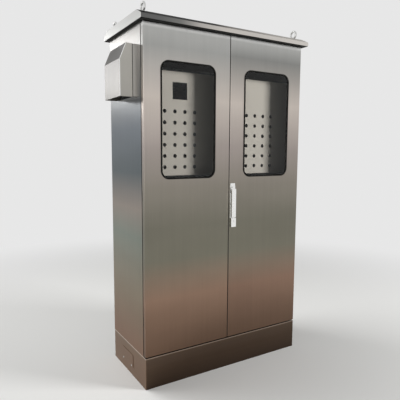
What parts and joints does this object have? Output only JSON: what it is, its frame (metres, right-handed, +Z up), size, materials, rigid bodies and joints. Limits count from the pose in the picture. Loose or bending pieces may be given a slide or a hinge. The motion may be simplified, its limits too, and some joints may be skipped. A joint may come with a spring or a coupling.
{
  "type": "traffic signal controller cabinet",
  "caption": "Tall outdoor stainless control cabinet on a plinth, with paired glazed doors, a swing handle, a bevelled rain roof, lifting eyes and a hooded side vent.",
  "frame": {"origin": "on the floor at the centre of the plinth's anchor hole pattern", "axes": "+Z up, +X to the right as seen facing the doors, the doors face -Y"},
  "size_m": [1.233, 0.538, 2.082],
  "materials": {
    "stainless": "satin",
    "zinc_plated_steel": "satin",
    "galvanised_steel": "matt",
    "panel_paint": "satin",
    "black_rubber": "matt",
    "foam_rubber": "matt",
    "window_glass": "clear",
    "satin_chrome": "satin",
    "black_plastic": "matt",
    "grey_plastic": "matt",
    "filter_fleece": "fibrous"
  },
  "bodies": {
    "cabinet": {"plinth": "stainless", "plinth_side_cover": "stainless", "plinth_cover_screws": "zinc_plated_steel", "plinth_bolts": "zinc_plated_steel", "floor_panel": "stainless", "gland_gasket": "foam_rubber", "gland_plate": "stainless", "gland_screws": "zinc_plated_steel", "left_side_panel": "stainless", "right_side_panel": "stainless", "rear_panel": "stainless", "top_panel": "stainless", "front_frame": "stainless", "centre_post": "stainless", "roof_gasket": "black_rubber", "roof_canopy": "stainless", "roof_spacers": "zinc_plated_steel", "lifting_eye_bolts": "zinc_plated_steel", "lifting_plates": "zinc_plated_steel", "lifting_nuts": "zinc_plated_steel", "hinge_arms": "zinc_plated_steel", "hinge_screws": "zinc_plated_steel", "rod_keepers": "zinc_plated_steel", "left_instrument_panel": "panel_paint", "right_instrument_panel": "panel_paint", "panel_rails": "galvanised_steel", "panel_screws": "zinc_plated_steel", "mounting_plate": "galvanised_steel", "plate_bolts": "zinc_plated_steel", "vent_frame": "stainless", "vent_hood": "stainless", "filter_mat": "filter_fleece", "filter_grille": "grey_plastic", "fan_housing": "black_plastic", "fan_guard": "zinc_plated_steel"},
    "left_door_leaf": {"left_door": "stainless", "left_window_seal": "black_rubber", "left_window_glass": "window_glass", "left_door_gasket": "foam_rubber", "left_hinge_brackets": "zinc_plated_steel", "left_hinge_pins": "zinc_plated_steel", "bolt_guides": "zinc_plated_steel"},
    "right_door_leaf": {"right_door": "stainless", "right_window_seal": "black_rubber", "right_window_glass": "window_glass", "right_door_gasket": "foam_rubber", "right_hinge_brackets": "zinc_plated_steel", "right_hinge_pins": "zinc_plated_steel", "handle_base": "satin_chrome", "rod_guides": "zinc_plated_steel"},
    "handle_spindle": {"handle_hub": "satin_chrome", "latch_cam": "zinc_plated_steel"},
    "swing_lever": {"handle_lever": "satin_chrome", "lever_pin": "zinc_plated_steel"},
    "key_lock": {"lock_barrel": "satin_chrome"},
    "upper_rod": {"upper_latch_rod": "zinc_plated_steel"},
    "lower_rod": {"lower_latch_rod": "zinc_plated_steel"},
    "left_top_bolt": {"left_door_top_bolt": "zinc_plated_steel"},
    "left_foot_bolt": {"left_door_foot_bolt": "zinc_plated_steel"},
    "fan_wheel": {"fan_rotor": "black_plastic"}
  },
  "joints": [
    {"name": "left_door_swing", "type": "hinge", "parent": "cabinet", "child": "left_door_leaf", "pos_m": [-0.538, -0.22, 1.0785], "axis": [0, 0, -1], "range_deg": [0, 110]},
    {"name": "right_door_swing", "type": "hinge", "parent": "cabinet", "child": "right_door_leaf", "pos_m": [0.538, -0.22, 1.0785], "axis": [0, 0, 1], "range_deg": [0, 110]},
    {"name": "handle_turn", "type": "hinge", "parent": "right_door_leaf", "child": "handle_spindle", "pos_m": [0.0225, -0.235, 1.092], "axis": [0, -1, 0], "range_deg": [0, 90]},
    {"name": "handle_lift", "type": "hinge", "parent": "handle_spindle", "child": "swing_lever", "pos_m": [0.0225, -0.2465, 1.092], "axis": [-1, 0, 0], "range_deg": [0, 40]},
    {"name": "lock_turn", "type": "hinge", "parent": "right_door_leaf", "child": "key_lock", "pos_m": [0.0225, -0.235, 0.906], "axis": [0, -1, 0], "range_deg": [0, 90]},
    {"name": "upper_rod_slide", "type": "slide", "parent": "right_door_leaf", "child": "upper_rod", "axis": [0, 0, -1], "range_m": [0, 0.0156]},
    {"name": "lower_rod_slide", "type": "slide", "parent": "right_door_leaf", "child": "lower_rod", "axis": [0, 0, 1], "range_m": [0, 0.0156]},
    {"name": "left_top_bolt_slide", "type": "slide", "parent": "left_door_leaf", "child": "left_top_bolt", "axis": [0, 0, -1], "range_m": [0, 0.018]},
    {"name": "left_foot_bolt_slide", "type": "slide", "parent": "left_door_leaf", "child": "left_foot_bolt", "axis": [0, 0, 1], "range_m": [0, 0.018]},
    {"name": "fan_spin", "type": "hinge", "parent": "cabinet", "child": "fan_wheel", "pos_m": [-0.52, -0.056, 1.7315], "axis": [1, 0, 0], "continuous": true}
  ],
  "couplings": [
    {"joint": "upper_rod_slide", "follows": "handle_turn", "m_per_rad": 0.0099},
    {"joint": "lower_rod_slide", "follows": "handle_turn", "m_per_rad": 0.0099}
  ]
}
